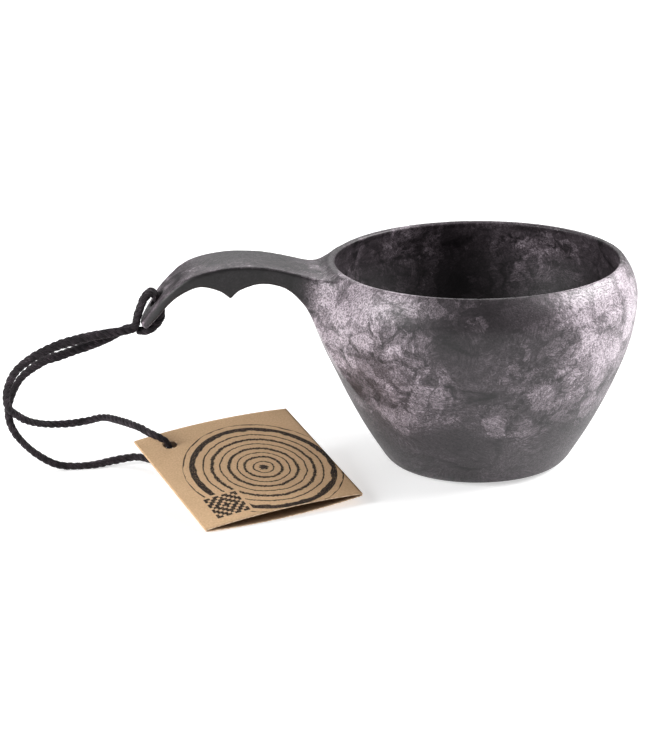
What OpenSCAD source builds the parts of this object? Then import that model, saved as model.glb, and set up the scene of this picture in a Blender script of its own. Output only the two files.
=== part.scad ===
// Kuksa: a Nordic drinking cup with a finger handle, its lanyard and its hang tag.
// The origin is the centre of the base on the bowl's axis, +Z is up and the handle points to -X.
// A distance d along the handle is measured outwards from the bowl's axis.

/* [Bowl] */
// Height from the base to the rim
cup_h = 75; // [72:1:78]
// Widest diameter, at the belly
belly_d = 115; // [112:1:118]
// Diameter across the outside of the lip
lip_d = 105; // [104:0.5:106]
// Diameter of the flat base
base_d = 55; // [50:1:58]
// Thickness of the wall at the belly
wall = 3.6; // [3:0.1:4]
// Thickness of the floor
floor_t = 4; // [3:0.5:5]

/* [Handle] */
// Half width of the handle along its straight stretch
grip_half_w = 12; // [11:0.5:13]
// Diameter of the lanyard eye
eye_d = 6; // [5.8:0.1:6.4]

/* [Lanyard] */
// Diameter of the twisted cord
cord_d = 2.5; // [2.2:0.1:2.5]

/* [Tag] */
// Side of the square card
card_side = 60; // [58:1:61]
// Thickness of one leaf
card_t = 0.4; // [0.3:0.05:0.5]
// How far each leaf bows away from the other
card_bow = 1.6; // [1:0.1:1.8]
// Diameter of the punched hole
hole_d = 5; // [5:0.1:6]

/* [Hidden] */
$fn = 96;

belly_r = belly_d / 2;
lip_r = lip_d / 2;
base_r = base_d / 2;

// Bowl: outside of the wall from the base's edge up to the top of the lip
bowl_outside = [
    [base_r, 0], [base_r + 4.6, 1.6], [0.63 * belly_r, 0.095 * cup_h], [0.75 * belly_r, 0.25 * cup_h],
    [0.873 * belly_r, 0.444 * cup_h], [0.965 * belly_r, 0.638 * cup_h], [belly_r, 0.82 * cup_h],
    [0.975 * belly_r, 0.92 * cup_h], [lip_r + 0.7, cup_h - 0.8], [lip_r - 0.6, cup_h]
];
// Bowl: inside of the wall from the lip down to the centre of the floor
lip_t = 2;
space_over_rim = 5;
bowl_inside = [
    [lip_r - lip_t, cup_h - 0.4], [lip_r - lip_t + 1.4, cup_h - 4], [belly_r - wall, 0.82 * cup_h],
    [0.965 * belly_r - wall, 0.638 * cup_h], [0.873 * belly_r - wall - 0.2, 0.444 * cup_h],
    [0.75 * belly_r - wall - 0.3, 0.26 * cup_h], [0.6 * belly_r - wall, floor_t + 5],
    [base_r - 2, floor_t + 1.2], [14, floor_t + 0.3], [0, floor_t]
];

// Handle: top and underside as [d, z]; the underside's point between the finger gaps is sharp
grip_top = [[46, 69], [55, 71.6], [62, 74.2], [76, 77.7], [90, 78.2], [103, 75.2], [112, 68.2], [117.5, 61.2]];
grip_tip = [[117.5, 61.2], [120.4, 57], [120.1, 55.6], [118.6, 55]];
finger_gap_outer = [[118.6, 55], [115, 59.6], [110.8, 65], [106, 69], [99.6, 71.6], [92.9, 69.9], [88.9, 67]];
finger_gap_inner = [[88.9, 67], [84.9, 70], [77.4, 71.7], [69.1, 69.5], [62.4, 64], [57.4, 56], [53.6, 46], [50, 36]];
// Handle: half widths seen from above, as [d, half width]
grip_plan = [
    [44, 26], [51, 21], [57, 15.5], [65, grip_half_w + 0.6], [76, grip_half_w], [90, grip_half_w + 0.3],
    [103, grip_half_w + 0.3], [112, 10], [117, 6.9], [120, 3.6], [121, 0]
];
// Eye: middle of its mouth on the handle's top, and how far its bore leans from upright
eye_d_pos = 114.3;
eye_z = 65.4;
eye_slope = 15;

// Cord route inside the hitch, from the end of one strand through the eye and round the tip to the bight
hitch_half = [
    [-123.4, -1.4, 54.4], [-122.2, -1.4, 55.8], [-121.8, -1.4, 57.8], [-121, -1.4, 60.2], [-120, -1.4, 62.8],
    [-118.9, -1.4, 65.2], [-116.9, -1.4, 67.2], [-115.1, -1.4, 66.4], [-114.1, -1.4, 64.2], [-113.4, -1.4, 61.6],
    [-113, -1.6, 59.2], [-114, -2, 57], [-116, -2, 54.9], [-118.4, -1.6, 53.5], [-121.2, 0, 53.2]
];
// Cord route outside the hitch: out from the tip, down in a loose loop, through the tag and back
cord_route = [
    [-126, -1.4, 53.8], [-134, -1.4, 53], [-143, -1.4, 51.4], [-152, -1.4, 48.8], [-159.5, -1.4, 45.2],
    [-165, -1.3, 41], [-168, -0.8, 36], [-169.3, 0.2, 31], [-168.8, 2, 26], [-166, 5, 22], [-161.5, 9, 18],
    [-155, 13, 15.4], [-148, 15, 14.6], [-141, 13, 16], [-134, 7.4, 18.8], [-124, -9.2, 20.8],
    [-119.4, -15, 20], [-115.8, -17.2, 18.8], [-113.2, -17, 16.8], [-112.3, -15.8, 13.8],
    [-112.4, -14.4, 10.6], [-112.7, -11.6, 7.4], [-113.8, -7, 4.9], [-115.9, -1.2, 3.7], [-119.4, 4.6, 3.2],
    [-124.4, 8, 3], [-131.4, 8, 2.1], [-139.6, 6.4, 1.3], [-147, 6, 1.3], [-153.4, 5.8, 2.6],
    [-159.4, 5.4, 6.6], [-164.2, 5, 11.4], [-167.8, 5, 17], [-169, 5, 22.6], [-168, 4.8, 28.4],
    [-163.6, 4.2, 36.4], [-155.6, 3.4, 42.4], [-149, 2.8, 44.6], [-134.4, 1.6, 49.8], [-126, 1.4, 53.8]
];
cord_sides = 8;

// Tag: its lower left corner where the card nearly touches the table, and how it lies on the cord
tag_corner = [-102, -66, 1.2];
tag_turn = 22;
tag_rise = 2;
tag_tilt = 14;
// Tag: the hole's place on the card, and half the gap between the leaves at the fold
hole_u = 10;
hole_v = 52;
leaf_gap = 0.1;
bow_steps = 24;

// ---- helpers -------------------------------------------------------------------------------
function unit(v) = v / norm(v);

// One point of a smooth curve through p, between p[i] and p[i + 1] at t from 0 to 1
function between(p, i, t) =
    let(
        n = len(p) - 1,
        a = p[max(i - 1, 0)],
        b = p[i],
        c = p[i + 1],
        e = p[min(i + 2, n)]
    )
    0.5 * (2 * b + (c - a) * t + (2 * a - 5 * b + 4 * c - e) * t * t + (3 * b - 3 * c + e - a) * t * t * t);

// A smooth curve through every point of p, with steps stretches between neighbours
function curve(p, steps) = [
    for (i = [0 : len(p) - 2]) for (s = [0 : steps - 1]) between(p, i, s / steps),
    p[len(p) - 1]
];

// Direction of travel at each point of a route
function headings(r) =
    let(n = len(r) - 1)
    [for (i = [0 : n]) unit(r[min(i + 1, n)] - r[max(i - 1, 0)])];

// A sideways direction at each point of a route that doesn't twist along it
function sideways(t, last, i = 0) =
    i == len(t) ? [] :
    let(v = unit(last - (last * t[i]) * t[i]))
    concat([v], sideways(t, v, i + 1));

// ---- shapes --------------------------------------------------------------------------------
// A round cord swept along the route, closed by a flat face at each end
module swept_cord(route, diameter, first_side) {
    t = headings(route);
    side = sideways(t, first_side);
    rings = len(route);
    radius = diameter / 2;
    points = [
        for (i = [0 : rings - 1]) for (k = [0 : cord_sides - 1])
            let(a = 360 * k / cord_sides, u = side[i], w = cross(t[i], u))
            route[i] + radius * (cos(a) * u + sin(a) * w)
    ];
    walls = [
        for (i = [0 : rings - 2]) for (k = [0 : cord_sides - 1])
            let(
                k2 = (k + 1) % cord_sides,
                a = i * cord_sides + k,
                b = i * cord_sides + k2
            )
            each [[a, b + cord_sides, b], [a, a + cord_sides, b + cord_sides]]
    ];
    near_end = [for (k = [0 : cord_sides - 1]) k];
    far_end = [for (k = [cord_sides - 1 : -1 : 0]) (rings - 1) * cord_sides + k];
    polyhedron(points, concat([near_end, far_end], walls));
}

// The bowl as a full solid of revolution, before it is hollowed
module bowl_solid() {
    rotate_extrude() polygon(concat([[0, 0]], curve(bowl_outside, 4), [[0, cup_h]]));
}

// The drinking space, open past the rim
module bowl_space() {
    space_top = cup_h + space_over_rim;
    rotate_extrude() polygon(concat([[0, space_top], [lip_r - lip_t, space_top]], curve(bowl_inside, 4)));
}

// The finger handle: its side outline cut to its outline from above
module finger_handle() {
    side_outline = concat(
        curve(grip_top, 5), curve(grip_tip, 3), curve(finger_gap_outer, 4), curve(finger_gap_inner, 4)
    );
    plan_half = curve(grip_plan, 4);
    plan = concat(plan_half, [for (i = [len(plan_half) - 2 : -1 : 0]) [plan_half[i][0], -plan_half[i][1]]]);
    handle_w = 60;
    mirror([1, 0, 0])
    intersection() {
        translate([0, handle_w / 2, 0]) rotate([90, 0, 0]) linear_extrude(handle_w) polygon(side_outline);
        linear_extrude(2 * cup_h) polygon(plan);
    }
}

// The bore for the lanyard, down through the handle near its tip
module lanyard_eye() {
    bore_l = 20;
    translate([-eye_d_pos, 0, eye_z]) rotate([0, -eye_slope, 0]) cylinder(h = bore_l, d = eye_d, center = true);
}

// Places a child drawn on the card's own sheet: x across, y up the fold, z off the face
module on_the_card() {
    translate(tag_corner) rotate([0, 0, tag_turn]) rotate([0, -tag_rise, 0]) rotate([tag_tilt, 0, 0]) children();
}

// One bowed leaf of the card; side is 1 for the cover and -1 for the back
module bowed_leaf(side) {
    bow = [
        for (i = [0 : bow_steps])
            let(u = i / bow_steps)
            [card_side * u, side * (leaf_gap + 4 * card_bow * u * (1 - u))]
    ];
    outer_face = [for (i = [bow_steps : -1 : 0]) bow[i] + [0, side * card_t]];
    difference() {
        translate([0, card_side, 0]) rotate([90, 0, 0]) linear_extrude(card_side) polygon(concat(bow, outer_face));
        translate([hole_u, hole_v, 0]) cylinder(h = 8 * card_bow, d = hole_d, center = true);
    }
}

// ---- pieces --------------------------------------------------------------------------------
// Bowl and handle, moulded as one piece, with the eye through the handle's tip
module cup() {
    color("#55525a")
    difference() {
        union() {
            bowl_solid();
            finger_handle();
        }
        bowl_space();
        lanyard_eye();
    }
}

// The part of the cord that is looped through the eye and round the tip
module lanyard_hitch() {
    other_half = [for (i = [len(hitch_half) - 2 : -1 : 0]) [hitch_half[i][0], -hitch_half[i][1], hitch_half[i][2]]];
    color("#2c282c") swept_cord(concat(hitch_half, other_half), cord_d, [0, 1, 0]);
}

// The rest of the cord: a loose loop that carries the tag
module lanyard_cord() {
    color("#2c282c") swept_cord(cord_route, cord_d, [0, 1, 0]);
}

// Back leaf of the folded card
module tag_back_leaf() {
    color("#b8905f") on_the_card() bowed_leaf(-1);
}

// Printed cover leaf of the folded card
module tag_cover_leaf() {
    color("#c89f6e") on_the_card() bowed_leaf(1);
}

cup();
lanyard_hitch();
lanyard_cord();
tag_back_leaf();
tag_cover_leaf();
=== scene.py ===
"""The look of a composite kuksa cup, with its twine lanyard and its folded hang tag."""

import math
import random

import bpy
import numpy as np
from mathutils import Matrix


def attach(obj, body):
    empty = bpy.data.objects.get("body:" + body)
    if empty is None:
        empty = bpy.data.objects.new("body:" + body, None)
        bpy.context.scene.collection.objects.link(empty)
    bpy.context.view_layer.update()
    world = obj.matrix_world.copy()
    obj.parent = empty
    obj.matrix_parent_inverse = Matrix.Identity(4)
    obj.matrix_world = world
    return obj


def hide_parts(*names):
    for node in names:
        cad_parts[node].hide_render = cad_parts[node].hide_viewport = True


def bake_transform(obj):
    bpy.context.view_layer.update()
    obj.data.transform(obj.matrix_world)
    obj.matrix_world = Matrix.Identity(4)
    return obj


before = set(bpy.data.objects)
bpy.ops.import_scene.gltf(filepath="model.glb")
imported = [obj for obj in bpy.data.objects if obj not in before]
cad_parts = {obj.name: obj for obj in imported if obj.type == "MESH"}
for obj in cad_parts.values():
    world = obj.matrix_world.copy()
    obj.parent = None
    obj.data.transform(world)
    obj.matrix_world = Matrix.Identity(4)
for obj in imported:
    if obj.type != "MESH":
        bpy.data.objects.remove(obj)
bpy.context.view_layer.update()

import openvdb
from mathutils import Matrix, Vector

MM = 0.001
scene = bpy.context.scene
scene.view_settings.view_transform = "Standard"
scene.view_settings.look = "None"


# ---------------------------------------------------------------- camera


def make_camera():
    """A long lens, a little to the left of the cup and looking down on it."""
    yaw, pitch, roll = math.radians(5), math.radians(17.8035), math.radians(1.0094)
    forward = Vector((math.sin(yaw) * math.cos(pitch), math.cos(yaw) * math.cos(pitch), -math.sin(pitch)))
    level = Vector((math.cos(yaw), -math.sin(yaw), 0))
    upward = level.cross(forward)
    right = level * math.cos(roll) - upward * math.sin(roll)
    up = upward * math.cos(roll) + level * math.sin(roll)
    data = bpy.data.cameras.new("camera")
    data.lens = 139.2
    data.sensor_width = 36
    camera = bpy.data.objects.new("camera", data)
    scene.collection.objects.link(camera)
    turn = Matrix((right, up, -forward)).transposed().to_4x4()
    camera.matrix_world = Matrix.Translation((-0.141585, -0.989288, 0.352546)) @ turn
    scene.camera = camera


# ---------------------------------------------------------------- curves and meshes


def rounded(points, steps, closed=False):
    """Points along the curve that passes through the given ones."""
    given = np.array(points, float)
    if closed:
        ends = np.vstack([given[-1:], given, given[:2]])
    else:
        ends = np.vstack([2 * given[0] - given[1], given, 2 * given[-1] - given[-2]])
    t = np.arange(steps)[:, None] / steps
    out = []
    for a, b, c, d in zip(ends[:-3], ends[1:-2], ends[2:-1], ends[3:]):
        square = 2 * a - 5 * b + 4 * c - d
        cube = 3 * b - a - 3 * c + d
        out.append(0.5 * (2 * b + (c - a) * t + square * t**2 + cube * t**3))
    if not closed:
        out.append(given[-1:])
    return np.vstack(out)


def arc_lengths(points):
    return np.concatenate([[0], np.cumsum(np.linalg.norm(np.diff(points, axis=0), axis=1))])


def even(points, step):
    """The same line with its points about one step apart."""
    along = arc_lengths(points)
    count = max(2, int(round(along[-1] / step)) + 1)
    wanted = np.linspace(0, along[-1], count)
    return np.column_stack([np.interp(wanted, along, points[:, k]) for k in range(3)])


def make_mesh(name, points, faces, smooth=True):
    mesh = bpy.data.meshes.new(name)
    mesh.from_pydata([tuple(p) for p in points], [], faces)
    mesh.update()
    if smooth:
        mesh.shade_smooth()
    piece = bpy.data.objects.new(name, mesh)
    scene.collection.objects.link(piece)
    return piece


def add_uv(mesh, name, values):
    """A UV map from one pair of numbers for each point."""
    layer = mesh.uv_layers.new(name=name)
    corners = np.empty(len(mesh.loops), int)
    mesh.loops.foreach_get("vertex_index", corners)
    layer.data.foreach_set("uv", np.asarray(values, np.float32)[corners].ravel())


def add_values(mesh, name, values):
    """A number for each point, for the material to read."""
    attribute = mesh.attributes.new(name, "FLOAT", "POINT")
    attribute.data.foreach_set("value", np.asarray(values, np.float32))


# ---------------------------------------------------------------- node trees


class Paint:
    """Shorthand for building one material's nodes."""

    def __init__(self, name):
        self.material = bpy.data.materials.new(name)
        self.material.use_nodes = True
        self.tree = self.material.node_tree
        self.tree.nodes.clear()

    def feed(self, socket, value):
        if isinstance(value, bpy.types.NodeSocket):
            self.tree.links.new(value, socket)
        else:
            socket.default_value = value

    def make(self, kind, inputs=None, **settings):
        node = self.tree.nodes.new(kind)
        for key, value in settings.items():
            setattr(node, key, value)
        for key, value in (inputs or {}).items():
            self.feed(node.inputs[key], value)
        return node

    def math(self, operation, a, b=0.0, clamp=False):
        return self.make("ShaderNodeMath", {0: a, 1: b}, operation=operation, use_clamp=clamp).outputs[0]

    def add(self, a, b):
        return self.math("ADD", a, b)

    def times(self, a, b):
        return self.math("MULTIPLY", a, b)

    def most(self, a, b):
        return self.math("MAXIMUM", a, b)

    def flip(self, a):
        return self.math("SUBTRACT", 1.0, a)

    def vector(self, operation, a, b):
        return self.make("ShaderNodeVectorMath", {0: a, 1: b}, operation=operation).outputs[0]

    def distance(self, a, b):
        return self.make("ShaderNodeVectorMath", {0: a, 1: b}, operation="DISTANCE").outputs["Value"]

    def split(self, vector):
        return self.make("ShaderNodeSeparateXYZ", {0: vector}).outputs

    def join(self, x, y, z=0.0):
        return self.make("ShaderNodeCombineXYZ", {0: x, 1: y, 2: z}).outputs[0]

    def object_place(self):
        return self.make("ShaderNodeTexCoord").outputs["Object"]

    def uv(self, name):
        return self.make("ShaderNodeUVMap", uv_map=name).outputs[0]

    def value(self, name):
        return self.make("ShaderNodeAttribute", attribute_name=name).outputs["Fac"]

    def noise(self, place, scale, detail=3.0, roughness=0.5, distortion=0.0, colour=False):
        inputs = {"Vector": place, "Scale": scale, "Detail": detail, "Roughness": roughness}
        node = self.make("ShaderNodeTexNoise", inputs | {"Distortion": distortion})
        return node.outputs["Color" if colour else "Fac"]

    def rise(self, value, low, high, bottom=0.0, top=1.0):
        """From bottom to top, smoothly, as the value goes from low to high."""
        node = self.make(
            "ShaderNodeMapRange",
            {"Value": value, "From Min": low, "From Max": high, "To Min": bottom, "To Max": top},
            interpolation_type="SMOOTHSTEP",
        )
        return node.outputs["Result"]

    def mix(self, share, a, b, blend="MIX"):
        node = self.make("ShaderNodeMix", data_type="RGBA", blend_type=blend)
        self.feed(node.inputs["Factor"], share)
        self.feed(node.inputs[6], a)
        self.feed(node.inputs[7], b)
        return node.outputs[2]

    def warp(self, place, scale, amount):
        """The place, pushed about by a noise of that scale."""
        push = self.vector("SUBTRACT", self.noise(place, scale, 2.0, colour=True), (0.5, 0.5, 0.5))
        return self.vector("ADD", place, self.vector("MULTIPLY", push, (amount, amount, amount)))

    def threads(self, place, scale, width):
        """Fine curly lines, where a noise passes through its middle."""
        off = self.math("ABSOLUTE", self.math("SUBTRACT", self.noise(place, scale, 2.0, 0.4, 0.3), 0.5))
        return self.rise(off, 0.0, width, 1.0, 0.0)

    def finish(self, colour, roughness, height, depth, **constants):
        """The surface itself. Depth is the bump's height in metres."""
        bump = self.make("ShaderNodeBump", {"Height": height, "Distance": depth, "Strength": 1.0})
        surface = self.make(
            "ShaderNodeBsdfPrincipled",
            {"Base Color": colour, "Roughness": roughness, "Normal": bump.outputs[0]},
        )
        for key, value in constants.items():
            surface.inputs[key.replace("_", " ")].default_value = value
        self.make("ShaderNodeOutputMaterial", {"Surface": surface.outputs[0]})
        return self.material


# ---------------------------------------------------------------- the cord

# millimetres, in the shared frame
CORD_D = 2.5
TWINE_D = 2.95
PLIES = 3
PLY_SIDES = 10
PLY_PITCH = 7.6
RING_STEP = 0.36
FUZZ_V = 30.0
TABLE_CLEARANCE = 0.03
TAG_HOLE = np.array((-112.0, -15.7, 14.1))
NO_FUZZ_R = 6.0

HITCH_HALF = [
    (-123.4, -1.4, 54.4), (-122.2, -1.4, 55.8), (-121.8, -1.4, 57.8), (-121, -1.4, 60.2),
    (-120, -1.4, 62.8), (-118.9, -1.4, 65.2), (-116.9, -1.4, 67.2), (-115.1, -1.4, 66.4),
    (-114.1, -1.4, 64.2), (-113.4, -1.4, 61.6), (-113, -1.6, 59.2), (-114, -2, 57),
    (-116, -2, 54.9), (-118.4, -1.6, 53.5), (-121.2, 0, 53.2),
]

CORD_ROUTE = [
    (-126, -1.4, 53.8), (-134, -1.4, 53), (-143, -1.4, 51.4), (-152, -1.4, 48.8), (-159.5, -1.4, 45.2),
    (-165, -1.3, 41), (-168, -0.8, 36), (-169.3, 0.2, 31), (-168.8, 2, 26), (-166, 5, 22), (-161.5, 9, 18),
    (-155, 13, 15.4), (-148, 15, 14.6), (-141, 13, 16), (-134, 7.4, 18.8), (-124, -9.2, 20.8),
    (-119.4, -15, 20), (-115.8, -17.2, 18.8), (-113.2, -17, 16.8), (-112.3, -15.8, 13.8),
    (-112.4, -14.4, 10.6), (-112.7, -11.6, 7.4), (-113.8, -7, 4.9), (-115.9, -1.2, 3.7), (-119.4, 4.6, 3.2),
    (-124.4, 8, 3), (-131.4, 8, 2.1), (-139.6, 6.4, 1.3), (-147, 6, 1.3), (-153.4, 5.8, 2.6),
    (-159.4, 5.4, 6.6), (-164.2, 5, 11.4), (-167.8, 5, 17), (-169, 5, 22.6), (-168, 4.8, 28.4),
    (-163.6, 4.2, 36.4), (-155.6, 3.4, 42.4), (-149, 2.8, 44.6), (-134.4, 1.6, 49.8), (-126, 1.4, 53.8),
]


def carried_frames(points):
    """Two directions across a closed line at each point, carried along it without turning about it."""
    ahead = np.roll(points, -1, 0) - np.roll(points, 1, 0)
    ahead /= np.linalg.norm(ahead, axis=1)[:, None]
    side = np.cross(ahead[0], (0, 0, 1.0))
    sides = []
    for direction in ahead:
        side = side - direction * (side @ direction)
        side /= np.linalg.norm(side)
        sides.append(side)
    sides = np.array(sides)
    return sides, np.cross(ahead, sides)


def make_lanyard():
    """The closed loop of three-ply twine: the hitch round the grip's eye, and the free loop with the tag."""
    hitch = [(x, -y, z) for x, y, z in HITCH_HALF] + HITCH_HALF[-2::-1]
    closed = rounded(hitch + CORD_ROUTE, 24, closed=True)
    closed = np.vstack([closed, closed[:1]])
    line = even(closed, RING_STEP)[:-1]
    count = len(line)
    total = arc_lengths(np.vstack([line, line[:1]]))[-1]
    along = np.arange(count) / count * total
    sides, ups = carried_frames(line)

    # the frame comes back turned, and the lay takes that turn up over the whole length
    turn = math.atan2(sides[-1] @ ups[0], sides[-1] @ sides[0])
    turns = round(total / PLY_PITCH * PLIES) / PLIES
    phase = along / total * (turns * 2 * math.pi - turn)

    # the twine lies a little flat, wide here and slack there
    slack = 1 + 0.07 * np.sin(along / 9.1) + 0.06 * np.sin(along / 3.7 + 1)
    flat = 0.10 + 0.06 * np.sin(along / 14.0 + 2)
    tilt = along / 23.0

    ply_r = 0.285 * TWINE_D
    offset = 0.215 * TWINE_D
    points, uvs = [], []
    around = np.arange(PLY_SIDES) / PLY_SIDES * 2 * math.pi
    for ply in range(PLIES):
        angle = phase + ply * 2 * math.pi / PLIES
        across, rise = np.cos(angle), np.sin(angle)
        wide = 1 + flat * np.cos(2 * (angle - tilt))
        reach = (offset * slack * wide)[:, None]
        centre = line + (sides * across[:, None] + ups * rise[:, None]) * reach
        run = np.roll(centre, -1, 0) - np.roll(centre, 1, 0)
        run /= np.linalg.norm(run, axis=1)[:, None]
        out = sides * across[:, None] + ups * rise[:, None]
        out -= run * np.sum(out * run, axis=1)[:, None]
        out /= np.linalg.norm(out, axis=1)[:, None]
        beside = np.cross(run, out)
        wobble = 1 + 0.07 * np.sin(along / 2.3 + ply * 2.1) * np.sin(along / 5.9 + ply)
        for k, a in enumerate(around):
            reach = (ply_r * wobble)[:, None]
            points.append(centre + (out * math.cos(a) * 0.92 + beside * math.sin(a) * 1.06) * reach)
            uvs.append(np.column_stack([along, np.full(count, (ply * 2 + k / PLY_SIDES) * 3.0)]))
    points = np.array(points).transpose(1, 0, 2)

    # near the grip the two strands have been pressed flat against each other
    x, z = line[:, 0], line[:, 2]
    pressed = np.clip((x + 170) / 14, 0, 1) * np.clip((-124 - x) / 7, 0, 1) * np.clip((z - 36) / 8, 0, 1)
    tall, deep = np.array((0, 0.30, 0.95)), np.array((0, 0.95, -0.30))
    off = points - line[:, None]
    points += (off @ tall * pressed[:, None] * 0.34)[:, :, None] * tall
    points -= (off @ deep * pressed[:, None] * 0.16)[:, :, None] * deep

    # and it is drawn thin where it passes through the card, by a fifth at most
    thin = 0.20 * np.clip(1.7 - np.linalg.norm(line - TAG_HOLE, axis=1) / 5.0, 0, 1)
    points -= (points - line[:, None]) * thin[:, None, None]
    uvs = np.array(uvs).transpose(1, 0, 2)
    return line, points, uvs, sides, ups


def add_fuzz(points, faces, uvs, line, sides, ups, first, last, amount, seed):
    """Short loose fibres that stand off the twine, but not where it passes through the card."""
    pick = random.Random(seed)
    for _ in range(amount):
        i = pick.randrange(first + 2, last - 2)
        if np.linalg.norm(line[i] - TAG_HOLE) < NO_FUZZ_R:
            continue
        ahead = line[(i + 1) % len(line)] - line[i]
        ahead = ahead / np.linalg.norm(ahead)
        angle = pick.uniform(0, 2 * math.pi)
        out = sides[i] * math.cos(angle) + ups[i] * math.sin(angle)
        beside = np.cross(ahead, out)
        lean = pick.uniform(-1.6, 1.6)
        reach = pick.uniform(0.35, 1.1) if pick.random() < 0.85 else pick.uniform(1.1, 2.2)
        start = line[i] + out * CORD_D * 0.4
        middle = start + out * reach * 0.55 + ahead * lean * reach * 0.5
        tip = start + out * reach * 0.85 + ahead * lean * reach + beside * pick.uniform(-0.5, 0.5) * reach
        thick = pick.uniform(0.022, 0.04)
        base = len(points)
        for centre, size in ((start, thick), (middle, thick * 0.8)):
            for k in range(3):
                a = k * 2 * math.pi / 3
                points.append(centre + (beside * math.cos(a) + ahead * math.sin(a)) * size)
                uvs.append((i * RING_STEP, FUZZ_V))
        points.append(tip)
        uvs.append((i * RING_STEP, FUZZ_V))
        for k in range(3):
            m = (k + 1) % 3
            faces.append((base + k, base + m, base + 3 + m, base + 3 + k))
            faces.append((base + 3 + k, base + 3 + m, base + 6))


def part_of_lanyard(name, first, last, lanyard, fuzz, seed):
    """The mesh of one stretch of the loop, from its first ring to its last, with its fuzz."""
    line, points, uvs, sides, ups = lanyard
    width = PLY_SIDES * PLIES
    wanted = [i % len(line) for i in range(first, last + 1)]
    flat_points = [p for i in wanted for p in points[i]]
    flat_uvs = [tuple(q) for i in wanted for q in uvs[i]]
    faces = []
    for i in range(len(wanted) - 1):
        for ply in range(PLIES):
            for k in range(PLY_SIDES):
                a = ply * PLY_SIDES + k
                b = ply * PLY_SIDES + (k + 1) % PLY_SIDES
                faces.append((i * width + a, i * width + b, (i + 1) * width + b, (i + 1) * width + a))
    add_fuzz(flat_points, faces, flat_uvs, line, sides, ups, first, last, fuzz, seed)
    flat_points = np.array(flat_points)
    flat_points[:, 2] = np.maximum(flat_points[:, 2], TABLE_CLEARANCE)
    piece = make_mesh(name, flat_points * MM, faces)
    add_uv(piece.data, "twine", np.array(flat_uvs))
    return piece


def twine_material():
    p = Paint("waxed_twine")
    place = p.object_place()
    u = p.split(p.uv("twine"))
    # filaments run along each ply, a little askew
    strand = p.join(p.times(u[0], 0.22), p.add(p.times(u[1], 2.2), p.times(u[0], 0.35)))
    filament = p.noise(strand, 3.2, 4.0, 0.6)
    coarse = p.noise(place, 260.0, 3.0)
    tone = p.add(p.times(filament, 0.7), p.times(coarse, 0.3))
    dark = p.mix(p.rise(tone, 0.38, 0.68), (0.004, 0.003, 0.004, 1), (0.042, 0.031, 0.038, 1))
    glint = p.times(p.rise(filament, 0.57, 0.72), p.rise(coarse, 0.46, 0.62))
    colour = p.mix(p.times(glint, 0.75), dark, (0.26, 0.20, 0.24, 1))
    rough = p.rise(tone, 0.3, 0.7, 0.78, 0.55)
    return p.finish(
        colour, rough, filament, 0.00022,
        Specular_IOR_Level=0.25, Sheen_Weight=0.08, Sheen_Roughness=0.4, Sheen_Tint=(0.75, 0.66, 0.74, 1),
    )


# ---------------------------------------------------------------- the cup

BOWL_OUTSIDE = [
    (27.5, 0), (32.1, 1.6), (36.2, 7.1), (43.1, 18.75), (50.2, 33.3), (55.5, 47.85), (57.5, 61.5),
    (56.06, 69), (53.2, 74.2), (51.9, 75),
]
BOWL_INSIDE = [
    (50.5, 74.6), (51.9, 71), (53.9, 61.5), (51.9, 47.85), (46.4, 33.3), (39.2, 19.5), (30.9, 9),
    (25.5, 5.2), (14, 4.3), (0, 4),
]
GRIP_TOP = [(46, 69), (55, 71.6), (62, 74.2), (76, 77.7), (90, 78.2), (103, 75.2), (112, 68.2), (117.5, 61.2)]
GRIP_TIP = [(117.5, 61.2), (120.4, 57), (120.1, 55.6), (118.6, 55)]
GAP_OUTER = [(118.6, 55), (115, 59.6), (110.8, 65), (106, 69), (99.6, 71.6), (92.9, 69.9), (88.9, 67)]
GAP_INNER = [(88.9, 67), (84.9, 70), (77.4, 71.7), (69.1, 69.5), (62.8, 63.4), (57.2, 54.5), (51, 45), (43, 36)]
GRIP_PLAN = [
    (42, 20), (51, 16.5), (57, 14.2), (65, 12.5), (76, 12), (90, 12.3), (103, 12.3), (112, 10), (117, 6.9),
    (120, 3.6), (121, 0),
]
EYE_MIDDLE = np.array((-114.3, 0, 65.4))
EYE_ANGLE = math.radians(15)
EYE_R = 3.0


class Field:
    """Signed distances from a closed flat outline, negative inside, held on a fine grid."""

    def __init__(self, outline, low, high, pitch=0.25):
        self.low, self.pitch = low, pitch
        xs = np.arange(low[0], high[0], pitch)
        ys = np.arange(low[1], high[1], pitch)
        gx, gy = np.meshgrid(xs, ys, indexing="ij")
        nearest = np.full(gx.shape, 1e9)
        inside = np.zeros(gx.shape, bool)
        start = np.array(outline, float)
        for (x0, y0), (x1, y1) in zip(start, np.roll(start, -1, 0)):
            dx, dy = x1 - x0, y1 - y0
            size = dx * dx + dy * dy
            if size < 1e-12:
                continue
            t = np.clip(((gx - x0) * dx + (gy - y0) * dy) / size, 0, 1)
            nearest = np.minimum(nearest, np.hypot(gx - x0 - t * dx, gy - y0 - t * dy))
            if dy:
                inside ^= ((y0 > gy) != (y1 > gy)) & (gx < x0 + (gy - y0) * dx / dy)
        self.values = np.where(inside, -nearest, nearest)

    def at(self, x, y):
        i = np.clip((x - self.low[0]) / self.pitch, 0, self.values.shape[0] - 1.001)
        j = np.clip((y - self.low[1]) / self.pitch, 0, self.values.shape[1] - 1.001)
        a, b = i.astype(int), j.astype(int)
        s, t = i - a, j - b
        v = self.values
        near = v[a, b] * (1 - s) + v[a + 1, b] * s
        far = v[a, b + 1] * (1 - s) + v[a + 1, b + 1] * s
        return near * (1 - t) + far * t


def smooth_min(a, b, k):
    h = np.clip(0.5 + 0.5 * (b - a) / k, 0, 1)
    return b + (a - b) * h - k * h * (1 - h)


def smooth_max(a, b, k):
    return -smooth_min(-a, -b, k)


def mirrored(outline):
    return list(outline) + [(-x, y) for x, y in reversed(outline)]


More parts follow.
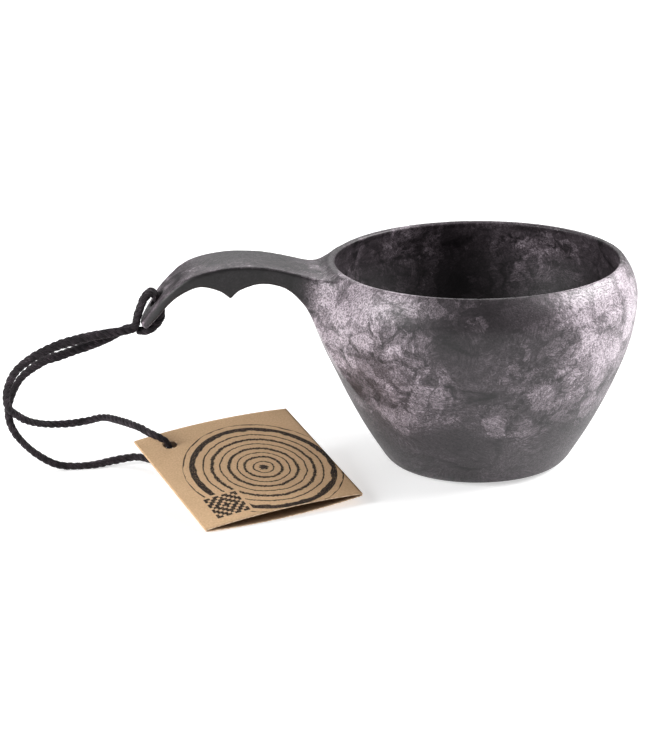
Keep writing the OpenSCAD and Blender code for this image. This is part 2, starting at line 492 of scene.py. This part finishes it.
class CupShape:
    """The cup as a distance function: bowl and grip grown together, less the hollow and the eye."""

    def __init__(self):
        outside = [tuple(p) for p in rounded(BOWL_OUTSIDE, 8)]
        inside = [tuple(p) for p in rounded(BOWL_INSIDE, 8)]
        self.bowl = Field(mirrored(outside + [(50.5, 74.6)]), (-2, -4), (64, 84))
        self.hollow = Field(mirrored(inside[::-1] + [(50.9, 76), (51.2, 95)]), (-2, -4), (64, 84))
        side = np.vstack([rounded(part, 8) for part in (GRIP_TOP, GRIP_TIP, GAP_OUTER, GAP_INNER)])
        self.side = Field(side, (30, 28), (127, 84))
        plan = [tuple(p) for p in rounded(GRIP_PLAN, 8)]
        self.plan = Field(plan + [(x, -y) for x, y in reversed(plan)], (30, -2), (127, 62))

    def distance(self, x, y, z):
        r = np.hypot(x, y)
        grip = smooth_max(self.side.at(-x, z), self.plan.at(-x, np.abs(y)), 1.3)
        body = smooth_min(self.bowl.at(r, z), grip, 8.0)
        dx, dz = x - EYE_MIDDLE[0], z - EYE_MIDDLE[2]
        across = dx * math.cos(EYE_ANGLE) + dz * math.sin(EYE_ANGLE)
        body = smooth_max(body, EYE_R - np.hypot(across, y), 1.2)
        return smooth_max(body, -self.hollow.at(r, z), 1.0)

    def slope(self, p, step=0.12):
        """The distance's gradient at each point."""
        parts = []
        for k in range(3):
            a, b = p.copy(), p.copy()
            a[:, k] += step
            b[:, k] -= step
            parts.append((self.distance(*a.T) - self.distance(*b.T)) / (2 * step))
        return np.column_stack(parts)


def make_cup():
    """The cup's skin: quads from a coarse grid, then every point moved onto the shape itself."""
    shape = CupShape()
    pitch = 0.8
    low = np.array((-124.0, -60.0, -3.2))
    counts = (229, 151, 106)
    axes = [low[k] + pitch * np.arange(counts[k]) for k in range(3)]
    gx, gy, gz = np.meshgrid(*axes, indexing="ij")
    band = 3
    values = np.clip(shape.distance(gx, gy, gz) / pitch, -band, band).astype(np.float32)
    grid = openvdb.FloatGrid(background=float(band))
    grid.copyFromArray(values)
    points, quads = grid.convertToQuads(0.0)
    points = points.astype(float) * pitch + low
    newton_steps = 4
    for _ in range(newton_steps):
        slope = shape.slope(points)
        steep = np.maximum(np.sum(slope**2, axis=1), 0.2)
        points -= slope * (shape.distance(*points.T) / steep)[:, None]
    normals = shape.slope(points)
    normals /= np.linalg.norm(normals, axis=1)[:, None]
    a, b, c = (points[quads[:, k]] for k in (0, 1, 2))
    outward = np.sum(np.cross(b - a, c - a) * normals[quads[:, 0]])
    if outward < 0:
        quads = quads[:, ::-1]
    piece = make_mesh("kuksa_cup", points * MM, quads.tolist())
    piece.data.normals_split_custom_set_from_vertices([tuple(n) for n in normals])

    # for the material: how far inside the hollow, on the grip, and on the grip's upright sides; the hollow and
    # the upright sides carry painted shade
    r = np.hypot(points[:, 0], points[:, 1])
    hollow = shape.hollow.at(r, points[:, 2])
    add_values(piece.data, "inner", np.clip(1 - hollow / 1.2, 0, 1))
    upright = np.clip((np.abs(normals[:, 1]) - 0.45) / 0.4, 0, 1)
    on_grip = np.clip((-points[:, 0] - 57) / 9, 0, 1)
    add_values(piece.data, "grip", on_grip)
    add_values(piece.data, "grip_side_painted_shade", on_grip * upright)
    return piece


def composite_material():
    p = Paint("wood_fibre_composite")
    place = p.object_place()
    z = p.split(place)[2]
    inner = p.value("inner")
    grip = p.value("grip")

    def centred(value, share):
        return p.times(p.math("SUBTRACT", value, 0.5), share)

    def near(middle, close, far, most):
        """An amount that dies away from close to far from a place."""
        return p.rise(p.distance(place, middle), close, far, most, 0.0)

    # flakes: ragged cells, each with its own tone and its own way for the fibres to lie
    ragged = p.warp(p.warp(place, 60.0, 0.012), 420.0, 0.0034)
    flake = p.make("ShaderNodeTexVoronoi", {"Vector": ragged, "Scale": 120.0, "Randomness": 1.0})
    chip = p.make("ShaderNodeTexVoronoi", {"Vector": ragged, "Scale": 330.0, "Randomness": 1.0})
    tone = p.split(flake.outputs["Color"])
    small = p.split(chip.outputs["Color"])

    def fibres(cells, scale, thin):
        spin = p.vector("MULTIPLY", cells.outputs["Color"], (6.28, 6.28, 6.28))
        turned = p.make(
            "ShaderNodeVectorRotate", {"Vector": p.warp(place, 140.0, 0.004), "Rotation": spin},
            rotation_type="EULER_XYZ",
        ).outputs[0]
        return p.noise(p.vector("MULTIPLY", turned, (1, 1, thin)), scale, 3.0, 0.7)

    coarse = fibres(flake, 1500.0, 0.16)
    fine = fibres(chip, 2600.0, 0.3)
    grain = p.noise(place, 2400.0, 2.0, 0.7)

    # clouds of lighter flakes with torn edges, one on another, thickest on both shoulders, where they are a
    # painted highlight
    torn = p.noise(p.warp(place, 26.0, 0.018), 26.0, 9.0, 0.57)
    lit = p.add(torn, p.add(centred(tone[0], 0.15), centred(small[1], 0.10)))
    # painted highlight: the flakes made lighter on the right and left shoulders
    right = p.most(
        near((0.042, -0.037, 0.065), 0.016, 0.040, 0.30),
        near((0.046, -0.026, 0.044), 0.012, 0.034, 0.09),
    )
    left = p.most(
        near((-0.049, -0.029, 0.062), 0.012, 0.042, 0.22),
        near((-0.042, -0.030, 0.038), 0.012, 0.036, 0.09),
    )
    # painted shade: darker on the front, just below the rim
    front_painted_shade = near((0.000, -0.054, 0.068), 0.014, 0.038, -0.18)
    middle = near((-0.004, -0.050, 0.040), 0.014, 0.036, 0.085)
    # painted shade: darker towards the foot, where the wall faces downward
    foot_painted_shade = p.rise(p.add(z, centred(torn, 0.034)), 0.021, 0.029, -0.22, 0.0)
    shoulder_painted_highlights = p.add(right, left)
    lit = p.add(p.add(lit, p.add(shoulder_painted_highlights, middle)), p.add(front_painted_shade, foot_painted_shade))
    lit = p.add(lit, p.times(grip, -0.04))
    under = p.rise(lit, 0.425, 0.455)
    cloud = p.rise(lit, 0.52, 0.55)
    # the brightest flakes fade lower down, a painted light from above
    bright = p.times(p.rise(lit, 0.625, 0.655), p.rise(z, 0.030, 0.052, 0.40, 1.0))
    outline = p.times(p.rise(lit, 0.590, 0.612), p.rise(lit, 0.618, 0.634, 1.0, 0.0))
    outline = p.add(outline, p.times(p.rise(lit, 0.490, 0.508), p.rise(lit, 0.514, 0.526, 1.0, 0.0)))

    # long flow lines left by the moulding
    stretched = p.vector("MULTIPLY", p.warp(place, 20.0, 0.04), (1, 1, 2.8))
    flow = p.noise(stretched, 24.0, 8.0, 0.66, 0.5)
    seams = p.threads(p.warp(stretched, 260.0, 0.005), 17.0, 0.026)
    seams = p.times(seams, p.rise(torn, 0.42, 0.60, 1.0, 0.35))
    cracks = p.times(p.rise(flake.outputs["Distance"], 0.54, 0.68), p.rise(lit, 0.52, 0.60))

    level = p.add(0.150, p.rise(flow, 0.34, 0.64, 0.0, 0.085))
    mottle = centred(p.noise(p.warp(place, 50.0, 0.012), 70.0, 7.0, 0.62), 0.16)
    level = p.add(level, p.add(mottle, p.times(shoulder_painted_highlights, 0.52)))
    level = p.add(level, p.add(p.times(under, 0.050), p.add(p.times(cloud, 0.090), p.times(bright, 0.120))))
    level = p.add(level, p.add(p.times(seams, -0.095), p.add(p.times(cracks, -0.14), p.times(outline, -0.055))))
    speckle = p.add(centred(coarse, 1.8), p.add(centred(fine, 1.6), centred(grain, 1.2)))
    speckle = p.times(speckle, p.add(0.80, p.times(cloud, 0.22)))
    level = p.times(level, p.add(1.0, speckle))

    # the grip: drawn-out streaks along its top; painted shade darkens its upright sides, and a painted
    # highlight lightens its top near the tip
    streaks = p.noise(p.vector("MULTIPLY", p.warp(place, 90.0, 0.003), (0.16, 1, 0.5)), 620.0, 4.0, 0.7)
    level = p.times(level, p.add(1.0, p.times(grip, centred(streaks, 1.6))))
    side = p.value("grip_side_painted_shade")
    # painted highlight: the top lighter towards the tip, not on the sides
    tip = p.times(p.rise(p.split(place)[0], -0.112, -0.086, 0.95, 0.0), p.flip(side))
    # painted shade: the upright sides darker
    level = p.times(level, p.flip(p.times(side, 0.72)))
    level = p.times(level, p.add(p.flip(p.times(grip, 0.14)), tip))

    # the hollow: painted shade, darker below, and a little painted light up at the rim
    level = p.times(level, p.flip(p.times(inner, p.rise(z, 0.044, 0.072, 0.42, -0.08))))
    ramp = p.make("ShaderNodeValToRGB", {"Fac": level})
    stops = [(0.0, 0.001), (0.1, 0.010), (0.2, 0.030), (0.3, 0.068), (0.42, 0.145), (0.55, 0.28), (0.75, 0.56)]
    elements = ramp.color_ramp.elements
    while len(elements) < len(stops):
        elements.new(0.5)
    for element, (at, grey) in zip(elements, stops):
        element.position = at
        element.color = (grey, grey * (0.78 + 0.12 * at), grey * (0.92 + 0.06 * at), 1)

    rough = p.add(p.rise(coarse, 0.35, 0.65, 0.52, 0.42), p.times(bright, -0.05))
    height = p.add(p.times(coarse, 0.5), p.add(p.times(fine, 0.3), p.times(grain, 0.2)))
    return p.finish(ramp.outputs["Color"], rough, height, 0.00012, Specular_IOR_Level=0.45)


# ---------------------------------------------------------------- the hang tag

CARD = 60.0
CARD_HALF_T = 0.2
LEAF_CENTRE = 0.3
LEAF_BOW = 1.6
FOLD_HALF = math.pi * LEAF_CENTRE / 2
HOLE = (10.0, 52.0)
HOLE_R = 2.5
HOLE_BOX = 4
CARD_CORNER = Vector((-102, -66, 1.2))
CARD_TURN, CARD_RISE, CARD_TILT = (math.radians(a) for a in (22, 2, 14))


def card_frame():
    """The card's place: across the leaf, up the fold, and out of the cover."""
    turn = Matrix.Rotation(CARD_TURN, 4, "Z") @ Matrix.Rotation(-CARD_RISE, 4, "Y")
    return Matrix.Translation(CARD_CORNER) @ (turn @ Matrix.Rotation(CARD_TILT, 4, "X"))


def sheet_section(q):
    """Where the sheet's middle is at that way across it, and which way is out of it."""
    u = np.abs(q) - FOLD_HALF
    t = np.clip(u / CARD, 0, 1)
    sign = np.where(q < 0, -1.0, 1.0)
    angle = np.clip(q / LEAF_CENTRE, -math.pi / 2, math.pi / 2)
    in_fold = u < 0
    place = np.where(in_fold, -LEAF_CENTRE * np.cos(angle), u)
    out = np.where(in_fold, LEAF_CENTRE * np.sin(angle), sign * (LEAF_CENTRE + LEAF_BOW * 4 * t * (1 - t)))
    lean = LEAF_BOW * 4 * (1 - 2 * t) / CARD
    nx = np.where(in_fold, -np.cos(angle), -lean)
    nz = np.where(in_fold, np.sin(angle), sign)
    size = np.hypot(nx, nz)
    return place, out, nx / size, nz / size


def flat_card():
    """The unfolded sheet, as points (q, v) and quads, with its two holes."""
    leaf = [FOLD_HALF + i for i in range(int(CARD) + 1)]
    fold = [FOLD_HALF * k / 6 for k in range(-5, 6)]
    across = [-q for q in reversed(leaf)] + fold + leaf
    index, points, quads = {}, [], []

    def point(q, v):
        key = (round(q, 4), round(v, 4))
        if key not in index:
            index[key] = len(points)
            points.append((q, v))
        return index[key]

    def near_hole(q0, q1, v0):
        for sign in (-1, 1):
            middle = sign * (FOLD_HALF + HOLE[0])
            if abs((q0 + q1) / 2 - middle) < HOLE_BOX and abs(v0 + 0.5 - HOLE[1]) < HOLE_BOX:
                return True
        return False

    for q0, q1 in zip(across[:-1], across[1:]):
        for v in range(int(CARD)):
            if not near_hole(q0, q1, v):
                quads.append((point(q0, v), point(q1, v), point(q1, v + 1), point(q0, v + 1)))

    n = HOLE_BOX
    edge = [(i, -n) for i in range(-n, n)] + [(n, i) for i in range(-n, n)]
    edge += [(-i, n) for i in range(-n, n)] + [(-n, -i) for i in range(-n, n)]
    for sign in (-1, 1):
        q_mid = sign * (FOLD_HALF + HOLE[0])
        rings = []
        for share in (0.0, 0.3, 0.55, 0.8, 1.0):
            ring = []
            for a, b in edge:
                size = math.hypot(a, b)
                x = a * (1 - share) + a / size * HOLE_R * share
                y = b * (1 - share) + b / size * HOLE_R * share
                ring.append(point(q_mid + x, HOLE[1] + y))
            rings.append(ring)
        for outer, inner in zip(rings[:-1], rings[1:]):
            for k in range(len(edge)):
                m = (k + 1) % len(edge)
                quads.append((outer[k], outer[m], inner[m], inner[k]))
    return np.array(points), quads


def make_card():
    points, quads = flat_card()
    across, out, nx, nz = sheet_section(points[:, 0])
    middle = np.column_stack([across, points[:, 1], out])
    normal = np.column_stack([nx, np.zeros(len(points)), nz])
    outer = middle + normal * CARD_HALF_T
    inner = middle - normal * CARD_HALF_T
    count = len(points)

    used = {}
    for quad in quads:
        for a, b in zip(quad, quad[1:] + quad[:1]):
            used.setdefault(frozenset((a, b)), []).append((a, b))
    rim = [edges[0] for edges in used.values() if len(edges) == 1]

    faces = [tuple(quad) for quad in quads]
    faces += [tuple(k + count for k in reversed(quad)) for quad in quads]
    faces += [(b, a, a + count, b + count) for a, b in rim]
    turn = np.array(card_frame())
    both = np.vstack([outer, inner]) @ turn[:3, :3].T + turn[:3, 3]
    piece = make_mesh("tag_card", both * MM, faces)

    # printed side, plain sides, cut edges
    printed = [points[quad, 0].mean() > 0 for quad in map(list, quads)]
    kinds = [0 if cover else 1 for cover in printed] + [1] * len(quads) + [2] * len(rim)
    piece.data.polygons.foreach_set("material_index", kinds)
    sharp = [False] * (2 * len(quads)) + [True] * len(rim)
    for polygon, flat in zip(piece.data.polygons, sharp):
        polygon.use_smooth = not flat
    place_uv = np.column_stack([np.abs(points[:, 0]) - FOLD_HALF, points[:, 1]])
    add_uv(piece.data, "card", np.vstack([place_uv, place_uv + (0, 100)]) / 100)
    return piece


def kraft(p):
    """Kraft board's colour, its roughness and its height, from the card's own place in tenths of a metre."""
    place = p.uv("card")
    fibre = p.noise(p.warp(place, 60.0, 0.006), 160.0, 4.0, 0.6)
    cloud = p.noise(place, 9.0, 3.0, 0.55)
    fleck = p.rise(p.noise(place, 420.0, 2.0), 0.63, 0.72)
    colour = p.mix(p.rise(fibre, 0.3, 0.7), (0.58, 0.375, 0.215, 1), (0.73, 0.505, 0.305, 1))
    colour = p.mix(p.rise(cloud, 0.35, 0.7, 0.0, 0.35), colour, (0.56, 0.37, 0.215, 1))
    colour = p.mix(p.times(fleck, 0.4), colour, (0.30, 0.19, 0.11, 1))
    return place, colour, p.rise(fibre, 0.3, 0.7, 0.76, 0.88), fibre


def ring_mask(p, r, radius, half_width, soft=0.0006):
    """A ring's ink: one inside half_width of the radius, nothing outside."""
    off = p.math("ABSOLUTE", p.math("SUBTRACT", r, radius))
    return p.rise(p.math("SUBTRACT", off, half_width), -soft, soft, 1.0, 0.0)


def print_material():
    p = Paint("printed_kraft")
    place, board, rough, height = kraft(p)
    u, v = p.split(place)[:2]
    wobble = p.noise(place, 22.0, 3.0, 0.5)
    brush = p.noise(place, 120.0, 4.0, 0.65)
    centre = (0.34, 0.258, 0)
    away = p.add(p.distance(place, centre), p.times(p.math("SUBTRACT", wobble, 0.5), 0.012))

    # a cut log's growth rings, drawn with a brush
    ink = ring_mask(p, away, 0.282, p.rise(wobble, 0.35, 0.62, 0.0008, 0.0030))
    bark = ring_mask(p, away, 0.250, p.add(p.rise(wobble, 0.3, 0.7, 0.006, 0.0110), p.times(brush, 0.005)))
    ink = p.most(ink, bark)
    for radius, width in ((0.213, 0.0030), (0.182, 0.0062), (0.152, 0.0028), (0.122, 0.0056), (0.094, 0.0028),
                          (0.066, 0.0050), (0.036, 0.0030), (0.0, 0.0160)):
        ink = p.most(ink, ring_mask(p, away, radius, p.times(p.rise(brush, 0.3, 0.65, 0.45, 1.3), width)))

    # a woven diamond in small squares, clear of the rings
    low, cell = (0.060, 0.038), 0.0111
    cells = 11
    i = p.math("DIVIDE", p.math("SUBTRACT", u, low[0]), cell)
    j = p.math("DIVIDE", p.math("SUBTRACT", v, low[1]), cell)
    ci = p.math("ABSOLUTE", p.math("SUBTRACT", p.math("FLOOR", i), (cells - 1) / 2))
    cj = p.math("ABSOLUTE", p.math("SUBTRACT", p.math("FLOOR", j), (cells - 1) / 2))
    every = p.math("MODULO", p.add(ci, cj), 3.0)
    woven = p.math("LESS_THAN", every, 1.5)
    within = p.math("LESS_THAN", p.most(ci, cj), cells / 2)
    clear = p.math("LESS_THAN", p.most(ci, cj), cells / 2 + 1.2)
    ink = p.add(p.times(ink, p.flip(clear)), p.times(woven, within))
    ink = p.times(ink, p.rise(p.noise(place, 300.0, 3.0), 0.30, 0.42))
    colour = p.mix(p.times(ink, 0.97), board, (0.008, 0.007, 0.010, 1))
    return p.finish(colour, rough, height, 0.00004, Specular_IOR_Level=0.15)


def board_material():
    p = Paint("kraft_board")
    place, colour, rough, height = kraft(p)
    # painted shade: the faces that look at each other inside the fold are a darker brown
    within = p.rise(p.split(place)[1], 0.7, 0.9)
    colour = p.mix(p.times(within, 0.72), colour, (0.10, 0.055, 0.035, 1))
    return p.finish(colour, rough, height, 0.00004, Specular_IOR_Level=0.15)


def edge_material():
    p = Paint("cut_board_edge")
    place = p.object_place()
    layer = p.noise(place, 900.0, 3.0, 0.6)
    colour = p.mix(p.rise(layer, 0.35, 0.65), (0.42, 0.27, 0.16, 1), (0.78, 0.60, 0.42, 1))
    return p.finish(colour, p.rise(layer, 0.3, 0.7, 0.75, 0.9), layer, 0.00003, Specular_IOR_Level=0.2)


# ---------------------------------------------------------------- floor and light


def make_studio():
    size = 6.0
    corners = [(-size, -size, 0), (size, -size, 0), (size, size, 0), (-size, size, 0)]
    floor = make_mesh("studio_floor", corners, [(0, 1, 2, 3)], smooth=False)
    p = Paint("pale_floor")
    tone = p.noise(p.object_place(), 4.0, 2.0)
    colour = p.mix(tone, (0.66, 0.66, 0.665, 1), (0.69, 0.69, 0.69, 1))
    # a light table: the floor glows a little, so that shadows on it stay faint
    floor.data.materials.append(
        p.finish(
            colour, 0.7, tone, 0.0001,
            Specular_IOR_Level=0.1, Emission_Color=(1, 1, 1, 1), Emission_Strength=0.55,
        )
    )

    world = bpy.data.worlds.new("studio")
    scene.world = world
    world.use_nodes = True
    backdrop = world.node_tree.nodes["Background"]
    backdrop.inputs["Color"].default_value = (1, 1, 1, 1)
    backdrop.inputs["Strength"].default_value = 0.15

    def softbox(name, place, aim, width, height, power):
        data = bpy.data.lights.new(name, "AREA")
        data.shape = "RECTANGLE"
        data.size, data.size_y = width, height
        data.energy = power
        light = bpy.data.objects.new(name, data)
        scene.collection.objects.link(light)
        light.location = place
        light.rotation_euler = (Vector(aim) - Vector(place)).to_track_quat("-Z", "Y").to_euler()

    softbox("softbox_left", (-0.85, -0.26, 0.42), (0, 0, 0.05), 0.30, 0.50, 8)
    softbox("softbox_right", (0.84, 0.10, 0.62), (0, 0, 0.05), 0.70, 0.50, 20)
    softbox("softbox_back", (0.1, 1.0, 0.75), (0, 0, 0), 1.2, 0.6, 6)


# ---------------------------------------------------------------- the whole

make_camera()

lanyard = make_lanyard()
line = lanyard[0]
hitch_end = int(np.argmin(np.linalg.norm(line - np.array(HITCH_HALF[0]), axis=1)))
twine = twine_material()

bight = part_of_lanyard("lanyard_bight", 0, hitch_end, lanyard, 110, 3)
loop = part_of_lanyard("lanyard_loop", hitch_end, len(line), lanyard, 760, 4)
for piece in (bight, loop):
    piece.data.materials.append(twine)
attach(bight, "cup")
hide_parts("lanyard_hitch")
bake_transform(loop)
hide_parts("lanyard_cord")

cup = make_cup()
cup.data.materials.append(composite_material())
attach(cup, "cup")
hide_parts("cup")

card = make_card()
for material in (print_material(), board_material(), edge_material()):
    card.data.materials.append(material)
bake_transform(card)
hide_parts("tag_back_leaf", "tag_cover_leaf")

make_studio()
